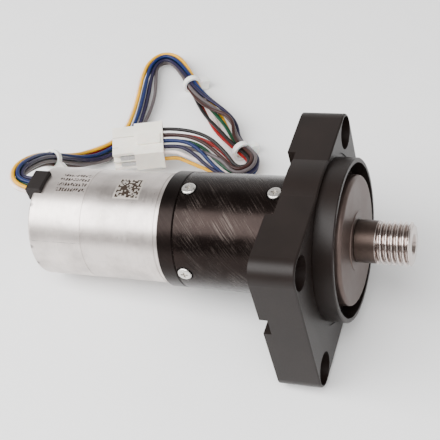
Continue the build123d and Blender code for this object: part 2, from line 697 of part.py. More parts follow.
# ---- wiring harness -----------------------------------------------------------------------
# The object rests on the lower edge of the flange's pads and on the lower edge of the motor's
# end, and the harness lies on that same sloping surface, behind the motor.
PLATE_BOTTOM = HOLE_CENTRE_Z - plate_z / 2
GROUND_SLOPE = (-MOTOR_R - PLATE_BOTTOM) / (PAD_REAR - MOTOR_REAR)
CONNECTOR_CENTRE = (-102.5, 55.5)
CONNECTOR_BOTTOM = 7.6
CONNECTOR_TURN = 21.0
CONNECTOR_L = 21.8
CONNECTOR_W = 19.6
CONNECTOR_H = 9.2
CONNECTOR_PITCH = 3.7
CONNECTOR_COLUMNS = 5
FAN_RUN = 7.0
WIRE_ENTRY = 4.0

# centreline of the bundle of nine, from the grommet to the last point before the connector
BUNDLE_ROUTE = [
    (-118.5, 0.0, 19.3),
    (-123.8, 0.0, 19.3),
    (-127.3, 4.6, 19.6),
    (-128.0, 12.5, 17.6),
    (-129.2, 25.0, 9.2),
    (-130.0, 36.5, -2.5),
    (-128.9, 45.5, -11.3),
    (-124.6, 52.0, -15.2),
    (-118.7, 58.5, -16.8),
    (-114.8, 67.1, -17.4),
    (-115.0, 79.2, -17.6),
    (-117.6, 93.9, -17.0),
    (-121.0, 108.1, -16.1),
    (-120.9, 119.7, -15.7),
    (-112.8, 125.2, -16.7),
    (-102.5, 115.3, -18.2),
    (-91.2, 100.1, -20.0),
    (-80.7, 90.0, -21.7),
    (-73.1, 81.9, -22.7),
    (-66.3, 73.6, -23.6),
    (-57.6, 65.0, -24.5),
    (-60.2, 57.4, -23.7),
    (-69.2, 58.4, -20.4),
]
# how far the wires stand apart along the route, 1 where they are packed
SPREAD = [1.0] * 6 + [1.15, 1.25, 1.2] + [1.15] * 5 + [1.1, 1.0, 1.05, 1.2, 1.15, 1.0, 1.0, 1.15, 1.5]
RING_R = 2.25
RING_TURN = 22.5
FLAT_ROW = 0.9

# colour, place in the packed bundle (0 is its middle, the others stand round it),
# flat place at the grommet, column and row in the connector
WIRES = [
    ("purple", 0, (0.0, -1), -1, 1),
    ("yellow", 1, (2.85, 1), -2, -1),
    ("white", 2, (0.95, 1), -2, 1),
    ("blue", 3, (-0.95, 1), 0, 1),
    ("brown", 4, (-2.85, 1), 1, 1),
    ("black", 5, (-3.8, -1), 2, 1),
    ("red", 6, (-1.9, -1), 2, -1),
    ("green", 7, (1.9, -1), 1, -1),
    ("grey", 8, (3.8, -1), 0, -1),
]


def run_direction(index):
    """Direction of the bundle's run from one point of its route to the next."""
    index = min(index, len(BUNDLE_ROUTE) - 2)
    return (Vector(BUNDLE_ROUTE[index + 1]) - Vector(BUNDLE_ROUTE[index])).normalized()


def bundle_frames():
    """Sideways direction of the bundle on each run, carried along the route without twist."""
    sides = [Vector(0, 0, 1).cross(run_direction(0)).normalized()]
    for index in range(1, len(BUNDLE_ROUTE) - 1):
        arriving = run_direction(index - 1)
        leaving = run_direction(index)
        hinge_axis = Axis((0, 0, 0), arriving.cross(leaving))
        sides.append(sides[-1].rotate(hinge_axis, arriving.get_angle(leaving)))
    return sides


BUNDLE_SIDES = bundle_frames()


def lane_offset(index, place, flat):
    """Offset of one wire from the bundle's centreline on the run that reaches a point."""
    run = max(index - 1, 0)
    side = BUNDLE_SIDES[run]
    upward = run_direction(run).cross(side)
    at_grommet = side * flat[0] + upward * (flat[1] * FLAT_ROW)
    if index == 0:
        return at_grommet
    angle = math.radians(RING_TURN + 45 * (place - 1))
    radius = RING_R * SPREAD[index] if place > 0 else 0.0
    in_bundle = side * (radius * math.cos(angle)) + upward * (radius * math.sin(angle))
    if index == 1:
        return (at_grommet + in_bundle) / 2
    return in_bundle


def lane_point(index, place, flat):
    """Corner of one wire's route, in the mitre plane of the bundle's corner."""
    offset = lane_offset(index, place, flat)
    arriving = run_direction(max(index - 1, 0))
    leaving = run_direction(index)
    slip = offset.dot(leaving) / (1 + arriving.dot(leaving))
    return Vector(BUNDLE_ROUTE[index]) + offset - arriving * slip


def lane_radius(index, place, flat):
    """Arc radius of one wire at a corner, on the same centre as the bundle's own arc."""
    arriving = run_direction(index - 1)
    leaving = run_direction(index)
    angle = math.radians(arriving.get_angle(leaving))
    here = Vector(BUNDLE_ROUTE[index])
    run_before = (here - Vector(BUNDLE_ROUTE[index - 1])).length
    run_after = (Vector(BUNDLE_ROUTE[index + 1]) - here).length
    bundle_radius = 0.45 * min(run_before, run_after) / math.tan(angle / 2)
    return bundle_radius - lane_offset(index, place, flat).dot(leaving) / math.sin(angle)


def ground_height(x):
    return PLATE_BOTTOM + (PAD_REAR - x) * GROUND_SLOPE


turn = math.radians(CONNECTOR_TURN)
connector_x = Vector(math.cos(turn), math.sin(turn), -GROUND_SLOPE * math.cos(turn))
connector_up = Vector(GROUND_SLOPE, 0, 1)
connector_origin = Vector(
    CONNECTOR_CENTRE[0],
    CONNECTOR_CENTRE[1],
    ground_height(CONNECTOR_CENTRE[0]) + CONNECTOR_BOTTOM + CONNECTOR_H / 2,
)
connector_plane = Plane(origin=connector_origin, x_dir=connector_x, z_dir=connector_up)


def corner_radius(before, here, after):
    """Arc radius at a corner, 0.45 of the shorter run over the tangent of half the turn."""
    half_turn = math.radians((here - before).get_angle(after - here) / 2)
    shorter = min((here - before).length, (after - here).length)
    return 0.45 * shorter / math.tan(half_turn)


def wire_route(place, flat, column, row):
    """Points and corner radii of one wire, from the grommet to its place in the connector."""
    last = len(BUNDLE_ROUTE) - 1
    points = [lane_point(index, place, flat) for index in range(last)]
    points.append(Vector(BUNDLE_ROUTE[last]) + lane_offset(last, place, flat))
    wire_face = CONNECTOR_L / 2
    cavity = (column * CONNECTOR_PITCH, row * CONNECTOR_PITCH / 2)
    points.append(connector_plane.from_local_coords(Vector(wire_face + FAN_RUN, *cavity)))
    points.append(connector_plane.from_local_coords(Vector(wire_face - WIRE_ENTRY, *cavity)))
    radii = []
    for index in range(1, last + 2):
        widest = corner_radius(*points[index - 1 : index + 2])
        if index < last:
            widest = min(widest, lane_radius(index, place, flat))
        radii.append(widest)
    return points, radii


for colour, place, flat, column, row in WIRES:
    route, radii = wire_route(place, flat, column, row)
    with BuildPart() as wire:
        with BuildLine() as path:
            FilletPolyline(route, radius=radii)
        with BuildSketch(Plane(origin=route[0], z_dir=route[1] - route[0])):
            Circle(WIRE_D / 2)
        sweep()
    expected = math.pi * (WIRE_D / 2) ** 2 * path.wire().length
    print(
        f"wire_{colour}: length {path.wire().length:.1f}, volume {wire.part.volume:.1f}"
        f" of {expected:.1f}, radii {[round(radius, 1) for radius in radii]}"
    )
    save(wire.part, f"wire_{colour}")

# ---- cable ties ---------------------------------------------------------------------------
TIE_INNER_R = RING_R + WIRE_D / 2 + 0.2
TIE_T = 1.0
TIE_W = 2.5
TIE_HEAD = (4.2, 4.8, 3.6)


def cable_tie(run, head_angle, name):
    """Tie round the bundle at the middle of one run, its head turned up from level."""
    middle = (Vector(BUNDLE_ROUTE[run]) + Vector(BUNDLE_ROUTE[run + 1])) / 2
    along = run_direction(run)
    level = Vector(0, 0, 1).cross(along)
    head_direction = level.rotate(Axis((0, 0, 0), along), head_angle)
    tie_plane = Plane(origin=middle, x_dir=head_direction, z_dir=along)
    with BuildPart() as tie:
        with BuildSketch(tie_plane):
            Circle(TIE_INNER_R + TIE_T)
            Circle(TIE_INNER_R, mode=Mode.SUBTRACT)
        extrude(amount=TIE_W / 2, both=True)
        with BuildSketch(tie_plane):
            with Locations((TIE_INNER_R + TIE_T / 2 + TIE_HEAD[0] / 2, 0)):
                RectangleRounded(TIE_HEAD[0], TIE_HEAD[1], 0.6)
        extrude(amount=TIE_HEAD[2] / 2, both=True)
    save(tie.part, name)


cable_tie(4, 225, "cable_tie_motor")
cable_tie(15, -20, "cable_tie_loop")
cable_tie(19, -20, "cable_tie_fold")

# ---- connector ----------------------------------------------------------------------------
CAVITY = 2.8
CAVITY_DEPTH = 11.0
WIRE_HOLE_R = 1.2
MATING_L = 9.4
MATING_STEP = 1.4
LIP_L = 1.2
LIP_STEP = 0.3
SLOT_W = 0.5
SLOT_DEPTH = 1.5
SHORT_SLOT_L = 2.6
LONG_SLOT_Y = 1.85
SHORT_SLOT_Y = -4.4
SIDE_SLOT_Z = 1.3
LATCH_L = 10.0
LATCH_H = 0.8

with BuildPart() as connector_housing:
    with BuildSketch(connector_plane.offset(-CONNECTOR_H / 2)):
        with Locations((MATING_L / 2, 0)):
            Rectangle(CONNECTOR_L - MATING_L, CONNECTOR_W)
        with Locations(((MATING_L - CONNECTOR_L) / 2, 0)):
            Rectangle(MATING_L, CONNECTOR_W - 2 * MATING_STEP)
        with Locations(((CONNECTOR_L - LIP_L) / 2, 0)):
            Rectangle(LIP_L, CONNECTOR_W + 2 * LIP_STEP)
    extrude(amount=CONNECTOR_H)
    mating_face = Plane(
        origin=connector_plane.from_local_coords(Vector(-CONNECTOR_L / 2, 0, 0)),
        x_dir=connector_plane.y_dir,
        z_dir=-connector_plane.x_dir,
    )
    with BuildSketch(mating_face):
        with GridLocations(CONNECTOR_PITCH, CONNECTOR_PITCH, CONNECTOR_COLUMNS, 2):
            Rectangle(CAVITY, CAVITY)
    extrude(amount=-CAVITY_DEPTH, mode=Mode.SUBTRACT)
    with BuildSketch(mating_face):
        with GridLocations(CONNECTOR_PITCH, CONNECTOR_PITCH, CONNECTOR_COLUMNS, 2):
            Circle(WIRE_HOLE_R)
    extrude(amount=-CONNECTOR_L, mode=Mode.SUBTRACT)
    # gaps between the spring fingers of the mating end, two in the top wall and one in each side
    with BuildSketch(connector_plane.offset(CONNECTOR_H / 2)):
        with Locations(((MATING_L - CONNECTOR_L) / 2, LONG_SLOT_Y)):
            Rectangle(MATING_L, SLOT_W)
        with Locations(((SHORT_SLOT_L - CONNECTOR_L) / 2, SHORT_SLOT_Y)):
            Rectangle(SHORT_SLOT_L, SLOT_W)
    extrude(amount=-SLOT_DEPTH, mode=Mode.SUBTRACT)
    with BuildSketch(mating_face):
        with Locations((0, SIDE_SLOT_Z)):
            Rectangle(CONNECTOR_W, SLOT_W)
            Rectangle(CONNECTOR_W - 2 * MATING_STEP - 2, SLOT_W, mode=Mode.SUBTRACT)
    extrude(amount=-SHORT_SLOT_L, mode=Mode.SUBTRACT)
    # latch lever on top of the rear part
    with BuildSketch(connector_plane.offset(CONNECTOR_H / 2)):
        with Locations(
            (CONNECTOR_L / 2 - LIP_L - LATCH_L / 2, (LONG_SLOT_Y + SHORT_SLOT_Y) / 2)
        ):
            RectangleRounded(LATCH_L, LONG_SLOT_Y - SHORT_SLOT_Y, 0.5)
    extrude(amount=LATCH_H)
save(connector_housing.part, "connector_housing")

TERMINAL_REACH = 8.0
TERMINAL_W = 2.2
with BuildPart() as connector_terminals:
    terminal_face = Plane(
        origin=connector_plane.from_local_coords(Vector(CONNECTOR_L / 2 - WIRE_ENTRY, 0, 0)),
        x_dir=connector_plane.y_dir,
        z_dir=-connector_plane.x_dir,
    )
    places = [(column, row) for _, _, _, column, row in WIRES]
    with BuildSketch(terminal_face):
        for column, row in places:
            with Locations((column * CONNECTOR_PITCH, row * CONNECTOR_PITCH / 2)):
                Circle(WIRE_HOLE_R - 0.1)
    extrude(amount=CONNECTOR_L - CAVITY_DEPTH - WIRE_ENTRY)
    with BuildSketch(terminal_face.offset(CONNECTOR_L - CAVITY_DEPTH - WIRE_ENTRY)):
        for column, row in places:
            with Locations((column * CONNECTOR_PITCH, row * CONNECTOR_PITCH / 2)):
                Rectangle(TERMINAL_W, TERMINAL_W)
    extrude(amount=TERMINAL_REACH)
save(connector_terminals.part, "connector_terminals")
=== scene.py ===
import math

import bmesh
import bpy
from mathutils import Matrix, Vector


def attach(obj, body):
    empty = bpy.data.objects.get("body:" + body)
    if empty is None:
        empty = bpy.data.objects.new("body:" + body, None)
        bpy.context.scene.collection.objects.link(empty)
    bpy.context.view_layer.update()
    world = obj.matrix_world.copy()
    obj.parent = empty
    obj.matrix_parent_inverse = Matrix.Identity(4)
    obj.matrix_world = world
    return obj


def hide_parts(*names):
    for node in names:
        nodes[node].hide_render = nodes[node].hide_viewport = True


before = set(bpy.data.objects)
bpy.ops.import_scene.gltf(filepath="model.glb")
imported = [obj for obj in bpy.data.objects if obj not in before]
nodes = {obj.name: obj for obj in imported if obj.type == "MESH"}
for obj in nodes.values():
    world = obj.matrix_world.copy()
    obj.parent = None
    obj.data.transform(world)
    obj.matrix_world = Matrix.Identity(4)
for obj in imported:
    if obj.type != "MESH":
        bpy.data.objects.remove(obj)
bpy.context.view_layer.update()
MM = 0.001


# ---- camera, lights and world -------------------------------------------------------------
def look_matrix(eye, forward, up):
    """World matrix of a camera or light at eye that looks along forward."""
    forward = Vector(forward).normalized()
    right = forward.cross(Vector(up)).normalized()
    true_up = right.cross(forward)
    turn = Matrix((right, true_up, -forward)).transposed()
    return Matrix.Translation(eye) @ turn.to_4x4()


# camera fitted to the can's edges, three flange holes and the pilot ring in the photograph
SENSOR, LENS = 36.0, 88.27
EYE = Vector((100.0, -252.3, 283.1)) * MM
LOOK, UP = (-0.3578, 0.6289, -0.6903), (-0.0609, 0.7219, 0.6893)
camera_data = bpy.data.cameras.new("camera")
camera_data.sensor_width = SENSOR
camera_data.lens = LENS
camera_data.clip_start = 0.01
camera = bpy.data.objects.new("camera", camera_data)
bpy.context.scene.collection.objects.link(camera)
camera.matrix_world = look_matrix(EYE, LOOK, UP)
bpy.context.scene.camera = camera

AIM = Vector((-40.0, 10.0, 0.0)) * MM


def softbox(name, direction, distance, width, height, power, long_axis=(1, 0, 0)):
    """Area light at a distance from AIM in one direction, facing it."""
    light_data = bpy.data.lights.new(name, "AREA")
    light_data.shape = "RECTANGLE"
    light_data.size = width
    light_data.size_y = height
    light_data.energy = power
    light = bpy.data.objects.new(name, light_data)
    bpy.context.scene.collection.objects.link(light)
    toward = -Vector(direction).normalized()
    across = Vector(long_axis)
    light.matrix_world = look_matrix(AIM - toward * distance, toward, across.cross(-toward))


softbox("key", (-0.36, -0.45, 0.82), distance=0.8, width=1.6, height=0.6, power=26.0)
softbox("back", (-0.2, 1.0, 0.35), distance=1.2, width=2.4, height=1.2, power=7.5)
sideways = (0, 1, 0)
softbox("front", (0.9, -0.5, 0.35), distance=1.2, width=1.4, height=1.2, power=8.0, long_axis=sideways)

world = bpy.data.worlds.new("world")
world.use_nodes = True
background = world.node_tree.nodes["Background"]
background.inputs["Color"].default_value = (1.0, 0.98, 0.96, 1)
background.inputs["Strength"].default_value = 0.42
bpy.context.scene.world = world


# ---- material helpers ---------------------------------------------------------------------
BUMP_DISTANCE = 0.0001


class Shader:
    """Builds one procedural material in the part frame's coordinates, in metres."""

    def __init__(self, name):
        self.material = bpy.data.materials.new(name)
        self.material.use_nodes = True
        self.tree = self.material.node_tree
        self.bsdf = self.tree.nodes["Principled BSDF"]
        self.place = self.add("ShaderNodeTexCoord").outputs["Object"]

    def add(self, kind):
        return self.tree.nodes.new(kind)

    def put(self, value, socket):
        if isinstance(value, bpy.types.NodeSocket):
            self.tree.links.new(value, socket)
        else:
            socket.default_value = value

    def math(self, operation, first, second=None):
        node = self.add("ShaderNodeMath")
        node.operation = operation
        for value, socket in zip((first, second), node.inputs):
            if value is not None:
                self.put(value, socket)
        return node.outputs[0]

    def axes(self):
        node = self.add("ShaderNodeSeparateXYZ")
        self.put(self.place, node.inputs[0])
        return node.outputs[0], node.outputs[1], node.outputs[2]

    def vector(self, x, y, z):
        node = self.add("ShaderNodeCombineXYZ")
        for value, socket in zip((x, y, z), node.inputs):
            self.put(value, socket)
        return node.outputs[0]

    def stretched(self, sx, sy, sz):
        node = self.add("ShaderNodeMapping")
        node.vector_type = "POINT"
        node.inputs["Scale"].default_value = (sx, sy, sz)
        self.put(self.place, node.inputs["Vector"])
        return node.outputs[0]

    def noise(self, vector, scale, detail=3.0, roughness=0.55):
        node = self.add("ShaderNodeTexNoise")
        self.put(vector, node.inputs["Vector"])
        node.inputs["Scale"].default_value = scale
        node.inputs["Detail"].default_value = detail
        node.inputs["Roughness"].default_value = roughness
        return node.outputs[0]

    def white(self, vector):
        node = self.add("ShaderNodeTexWhiteNoise")
        self.put(vector, node.inputs["Vector"])
        return node.outputs["Value"]

    def ramp(self, value, low, high, start=0.0, end=1.0):
        """Value from low to high becomes start to end, held outside."""
        node = self.add("ShaderNodeMapRange")
        self.put(value, node.inputs["Value"])
        for key, number in (("From Min", low), ("From Max", high), ("To Min", start), ("To Max", end)):
            node.inputs[key].default_value = number
        return node.outputs["Result"]

    def inside(self, value, low, high):
        """1 where value is between low and high."""
        above = self.math("GREATER_THAN", value, low)
        below = self.math("LESS_THAN", value, high)
        return self.math("MULTIPLY", above, below)

    def near(self, value, centre, half):
        """1 on a line, fading to 0 at half either side."""
        away = self.math("ABSOLUTE", self.math("SUBTRACT", value, centre))
        return self.ramp(away, 0.0, half, 1.0, 0.0)

    def mix(self, fraction, first, second):
        node = self.add("ShaderNodeMix")
        node.data_type = "RGBA"
        self.put(fraction, node.inputs["Factor"])
        # the colour sockets of the node
        self.put(first, node.inputs[6])
        self.put(second, node.inputs[7])
        return node.outputs[2]

    def bump(self, height, strength):
        node = self.add("ShaderNodeBump")
        node.inputs["Strength"].default_value = strength
        node.inputs["Distance"].default_value = BUMP_DISTANCE
        self.put(height, node.inputs["Height"])
        self.put(node.outputs[0], self.bsdf.inputs["Normal"])

    def finish(self, colour, roughness, metallic=0.0, **others):
        self.put(colour, self.bsdf.inputs["Base Color"])
        self.put(roughness, self.bsdf.inputs["Roughness"])
        self.put(metallic, self.bsdf.inputs["Metallic"])
        for name, value in others.items():
            self.bsdf.inputs[name.replace("_", " ")].default_value = value
        return self.material


def rgb(red, green, blue):
    return (red, green, blue, 1.0)


def shade(colour, factor):
    return (colour[0] * factor, colour[1] * factor, colour[2] * factor, 1.0)


def turned_metal(name, colour, roughness):
    """Metal with fine rings round the shaft axis, as turning or drawing leaves them."""
    s = Shader(name)
    fine = s.noise(s.stretched(2600, 40, 40), 1.0, 4.0, 0.7)
    broad = s.noise(s.place, 90.0, 4.0, 0.6)
    tone = s.mix(s.ramp(broad, 0.35, 0.65), shade(colour, 0.88), shade(colour, 1.12))
    base = s.ramp(broad, 0.3, 0.7, roughness - 0.05, roughness + 0.05)
    rough = s.math("ADD", s.ramp(fine, 0.3, 0.7, -0.05, 0.05), base)
    s.bump(fine, 0.12)
    return s.finish(tone, rough, 1.0)


def plain_metal(name, colour, roughness, grain=900.0, depth=0.15):
    """Ground or cast metal with an even fine grain and some stain."""
    s = Shader(name)
    fine = s.noise(s.place, grain, 5.0, 0.65)
    broad = s.noise(s.place, 140.0, 3.0)
    tone = s.mix(s.ramp(broad, 0.35, 0.65), shade(colour, 0.88), shade(colour, 1.1))
    s.bump(fine, depth)
    return s.finish(tone, s.ramp(fine, 0.3, 0.7, roughness - 0.06, roughness + 0.06), 1.0)


def moulded(name, colour, roughness, grain=1500.0, depth=0.1, **others):
    """Moulded plastic or rubber with a faint sparked grain."""
    s = Shader(name)
    fine = s.noise(s.place, grain, 4.0, 0.6)
    broad = s.noise(s.place, 120.0, 3.0)
    tone = s.mix(s.ramp(broad, 0.35, 0.65), shade(colour, 0.93), shade(colour, 1.05))
    s.bump(fine, depth)
    return s.finish(tone, s.ramp(broad, 0.3, 0.7, roughness - 0.04, roughness + 0.05), 0.0, **others)


def dress(material, *names):
    """Gives one material to the named CAD pieces."""
    for name in names:
        data = nodes[name].data
        data.materials.clear()
        data.materials.append(material)


# ---- motor can and rear cap ---------------------------------------------------------------
CAN_R = 21.0 * MM
CAN_COLOUR = rgb(0.6, 0.545, 0.515)
MARK_COLOUR = rgb(0.014, 0.0065, 0.003)


def can_surface(s, colour, roughness):
    """Drawn zinc-plated steel: mottled plating, fine rings and darker streaks."""
    rings = s.noise(s.stretched(1800, 25, 25), 1.0, 5.0, 0.7)
    streaks = s.noise(s.stretched(60, 500, 500), 1.0, 3.0, 0.6)
    clouds = s.noise(s.place, 55.0, 5.0, 0.6)
    plating = s.noise(s.place, 1400.0, 3.0, 0.6)
    tone = s.mix(s.ramp(clouds, 0.38, 0.62), shade(colour, 0.74), shade(colour, 1.16))
    tone = s.mix(s.ramp(rings, 0.35, 0.75, 0.0, 0.3), tone, shade(colour, 0.78))
    tone = s.mix(s.ramp(streaks, 0.6, 0.75, 0.0, 0.2), tone, shade(colour, 0.7))
    base = s.ramp(plating, 0.3, 0.7, roughness - 0.04, roughness + 0.04)
    rough = s.math("ADD", s.ramp(rings, 0.3, 0.7, -0.05, 0.05), base)
    height = s.math("ADD", s.math("MULTIPLY", rings, 0.7), s.math("MULTIPLY", plating, 0.3))
    return tone, rough, height


def arc_from_top(s, y, z, radius):
    """Distance round a cylinder from its top line, positive towards -Y, in metres."""
    return s.math("MULTIPLY", s.math("ARCTAN2", s.math("MULTIPLY", y, -1.0), z), radius)


s = Shader("motor_steel")
x, y, z = s.axes()
arc = arc_from_top(s, y, z, CAN_R)
tone, rough, height = can_surface(s, CAN_COLOUR, 0.34)
# dotted square mark on top of the can, on a lighter patch
CODE_X, CODE_ARC, CODE_CELL, CODE_CELLS = -76.4 * MM, 0.2 * MM, 0.66 * MM, 14
CODE_SEED = 3.7
column = s.math("FLOOR", s.math("DIVIDE", s.math("SUBTRACT", x, CODE_X), CODE_CELL))
row = s.math("FLOOR", s.math("DIVIDE", s.math("SUBTRACT", arc, CODE_ARC), CODE_CELL))
half = (CODE_CELLS + 1) / 2
in_code = s.math("MULTIPLY", s.inside(column, -half, half - 0.5), s.inside(row, -half, half - 0.5))
dots = s.math("GREATER_THAN", s.white(s.vector(column, row, CODE_SEED)), 0.4)
code = s.math("MULTIPLY", in_code, dots)
patch = s.math("MULTIPLY", s.inside(column, -half - 1, half + 0.5), s.inside(row, -half - 1, half + 0.5))
tone = s.mix(s.math("MULTIPLY", patch, 0.3), tone, rgb(0.75, 0.7, 0.6))
tone = s.mix(s.math("MULTIPLY", code, 0.97), tone, MARK_COLOUR)
# rolled line near the adapter
rim = s.near(x, -63.1 * MM, 0.22 * MM)
tone = s.mix(s.math("MULTIPLY", rim, 0.45), tone, rgb(0.25, 0.24, 0.23))
height = s.math("SUBTRACT", height, s.math("MULTIPLY", rim, 2.0))
s.bump(height, 0.12)
metal = s.math("SUBTRACT", 1.0, code)
matt = s.math("ADD", s.math("MULTIPLY", patch, 0.12), s.math("MULTIPLY", code, 0.35))
rough = s.math("ADD", rough, matt)
s.put(s.math("SUBTRACT", 0.5, s.math("MULTIPLY", code, 0.45)), s.bsdf.inputs["Specular IOR Level"])
dress(s.finish(tone, rough, metal), "motor_can")

s = Shader("cap_steel")
x, y, z = s.axes()
arc = arc_from_top(s, y, z, CAN_R)
tone, rough, height = can_surface(s, shade(CAN_COLOUR, 1.1), 0.36)
# four rows of short strokes standing for the stamped data
ROW_PITCH, FIRST_ROW = 2.72 * MM, 5.3 * MM
STROKE_W, LETTER_PITCH = 0.5 * MM, 1.18 * MM
ROWS_FROM, ROWS_TO = -106.6 * MM, -94.2 * MM
row_value = s.math("DIVIDE", s.math("ADD", arc, FIRST_ROW + ROW_PITCH / 2), ROW_PITCH)
row = s.math("FLOOR", row_value)
in_row = s.inside(s.math("FRACT", row_value), 0.2, 0.8)
in_rows = s.inside(row, -0.5, 3.5)
slant = s.math("ADD", x, s.math("MULTIPLY", arc, 0.12))
stroke = s.math("DIVIDE", slant, STROKE_W)
shape_row = s.math("FLOOR", s.math("MULTIPLY", s.math("FRACT", row_value), 5.0))
ink = s.math("GREATER_THAN", s.white(s.vector(s.math("FLOOR", stroke), row, shape_row)), 0.3)
gap = s.math("GREATER_THAN", s.math("FRACT", s.math("DIVIDE", slant, LETTER_PITCH)), 0.26)
in_span = s.inside(x, ROWS_FROM, ROWS_TO)
text = s.math("MULTIPLY", s.math("MULTIPLY", in_row, in_rows), s.math("MULTIPLY", ink, gap))
text = s.math("MULTIPLY", text, in_span)
tone = s.mix(s.math("MULTIPLY", text, 0.97), tone, MARK_COLOUR)
# lengthwise joint of the rolled band, and the staked notches at its rear edge
JOINT_ANGLE = 155.6
STAKE_ANGLES = (20.0, 117.5, 163.0, 186.0, 250.0, 310.0)
STAKE_X = -115.2 * MM
joint_arc = math.radians(JOINT_ANGLE - 90) * CAN_R
joint = s.math("MULTIPLY", s.near(arc, joint_arc, 0.16 * MM), s.inside(x, -114.4 * MM, -93.5 * MM))
worn = s.ramp(s.noise(s.place, 500.0, 3.0), 0.35, 0.6)
joint = s.math("MULTIPLY", joint, worn)
tone = s.mix(s.math("MULTIPLY", joint, 0.75), tone, rgb(0.12, 0.11, 0.10))
stakes = None
for angle in STAKE_ANGLES:
    at = math.radians(angle - 90)
    line = Vector((0.0, -math.sin(at), math.cos(at))) * CAN_R
    dy = s.math("SUBTRACT", y, line.y)
    dz = s.math("SUBTRACT", z, line.z)
    dx = s.math("MULTIPLY", s.math("SUBTRACT", x, STAKE_X), 0.8)
    squares = [s.math("MULTIPLY", offset, offset) for offset in (dy, dz, dx)]
    spread = s.math("SQRT", s.math("ADD", s.math("ADD", squares[0], squares[1]), squares[2]))
    spot = s.ramp(spread, 0.5 * MM, 1.1 * MM, 1.0, 0.0)
    stakes = spot if stakes is None else s.math("MAXIMUM", stakes, spot)
tone = s.mix(s.math("MULTIPLY", stakes, 0.7), tone, rgb(0.10, 0.09, 0.085))
height = s.math("SUBTRACT", height, s.math("MULTIPLY", s.math("ADD", joint, stakes), 2.5))
s.bump(height, 0.12)
metal = s.math("SUBTRACT", 1.0, text)
s.put(s.math("SUBTRACT", 0.5, s.math("MULTIPLY", text, 0.45)), s.bsdf.inputs["Specular IOR Level"])
dress(s.finish(tone, s.math("ADD", rough, s.math("MULTIPLY", text, 0.3)), metal), "rear_end_cap")

# ---- black gearbox and adapter ------------------------------------------------------------
GEARBOX_R = 22.0 * MM
BLACKED = rgb(0.014, 0.0092, 0.008)


def blacked_steel(name, colour, roughness, scuffs):
    """Blacked turned steel, with slanting rub marks where scuffs is over 0."""
    s = Shader(name)
    x, y, z = s.axes()
    rings = s.noise(s.stretched(2200, 30, 30), 1.0, 5.0, 0.7)
    fine = s.noise(s.place, 1800.0, 4.0, 0.65)
    clouds = s.noise(s.place, 70.0, 4.0, 0.6)
    arc = arc_from_top(s, y, z, GEARBOX_R)
    along = s.math("ADD", s.math("MULTIPLY", x, 0.62), s.math("MULTIPLY", arc, 0.78))
    across = s.math("SUBTRACT", s.math("MULTIPLY", x, 0.78), s.math("MULTIPLY", arc, 0.62))
    strokes = s.vector(s.math("MULTIPLY", across, 3000.0), s.math("MULTIPLY", along, 55.0), 0.0)
    rubs = s.noise(strokes, 1.0, 3.0, 0.6)
    patchy = s.noise(s.place, 130.0, 3.0, 0.6)
    rub = s.math("MULTIPLY", s.ramp(rubs, 0.5, 0.68), s.ramp(patchy, 0.4, 0.62, 0.0, scuffs))
    tone = s.mix(s.ramp(clouds, 0.35, 0.65), shade(colour, 0.8), shade(colour, 1.15))
    tone = s.mix(s.math("MULTIPLY", rub, 0.6), tone, rgb(0.085, 0.07, 0.062))
    rough = s.ramp(fine, 0.3, 0.7, roughness - 0.05, roughness + 0.06)
    rough = s.math("ADD", rough, s.math("MULTIPLY", rub, 0.12))
    height = s.math("ADD", s.math("MULTIPLY", rings, 0.5), s.math("MULTIPLY", fine, 0.5))
    height = s.math("SUBTRACT", height, s.math("MULTIPLY", rub, 3.0))
    s.bump(height, 0.2)
    return s.finish(tone, rough, 0.9)


dress(blacked_steel("black_steel", BLACKED, 0.24, 1.0), "gearbox_housing")
dress(blacked_steel("black_steel_adapter", shade(BLACKED, 0.8), 0.32, 0.2), "gearbox_adapter")

# ---- flange -------------------------------------------------------------------------------
s = Shader("black_flange")
mill = s.noise(s.stretched(1500, 60, 60), 1.0, 5.0, 0.7)
fine = s.noise(s.place, 2200.0, 4.0, 0.6)
clouds = s.noise(s.place, 60.0, 4.0, 0.6)
flange_colour = rgb(0.0095, 0.0062, 0.0052)
tone = s.mix(s.ramp(clouds, 0.35, 0.65), shade(flange_colour, 0.85), shade(flange_colour, 1.15))
s.bump(s.math("ADD", s.math("MULTIPLY", mill, 0.4), s.math("MULTIPLY", fine, 0.6)), 0.16)
dress(s.finish(tone, s.ramp(fine, 0.3, 0.7, 0.36, 0.46), 0.0, Specular_IOR_Level=0.2), "mounting_flange")

# ---- hub, shaft and thread ----------------------------------------------------------------
s = Shader("hub_grey")
brushed = s.noise(s.stretched(300, 2600, 160), 1.0, 4.0, 0.7)
spots = s.noise(s.place, 420.0, 4.0, 0.75)
clouds = s.noise(s.place, 75.0, 4.0, 0.6)
hub_colour = rgb(0.09, 0.064, 0.056)
tone = s.mix(s.ramp(clouds, 0.3, 0.7), shade(hub_colour, 0.82), shade(hub_colour, 1.15))
tone = s.mix(s.ramp(brushed, 0.4, 0.75, 0.0, 0.35), tone, shade(hub_colour, 0.7))
tone = s.mix(s.ramp(spots, 0.66, 0.74, 0.0, 0.7), tone, rgb(0.05, 0.04, 0.035))
s.bump(s.math("ADD", s.math("MULTIPLY", brushed, 0.6), s.math("MULTIPLY", spots, -0.4)), 0.2)
dress(s.finish(tone, s.ramp(clouds, 0.3, 0.7, 0.4, 0.52), 0.75), "output_hub")

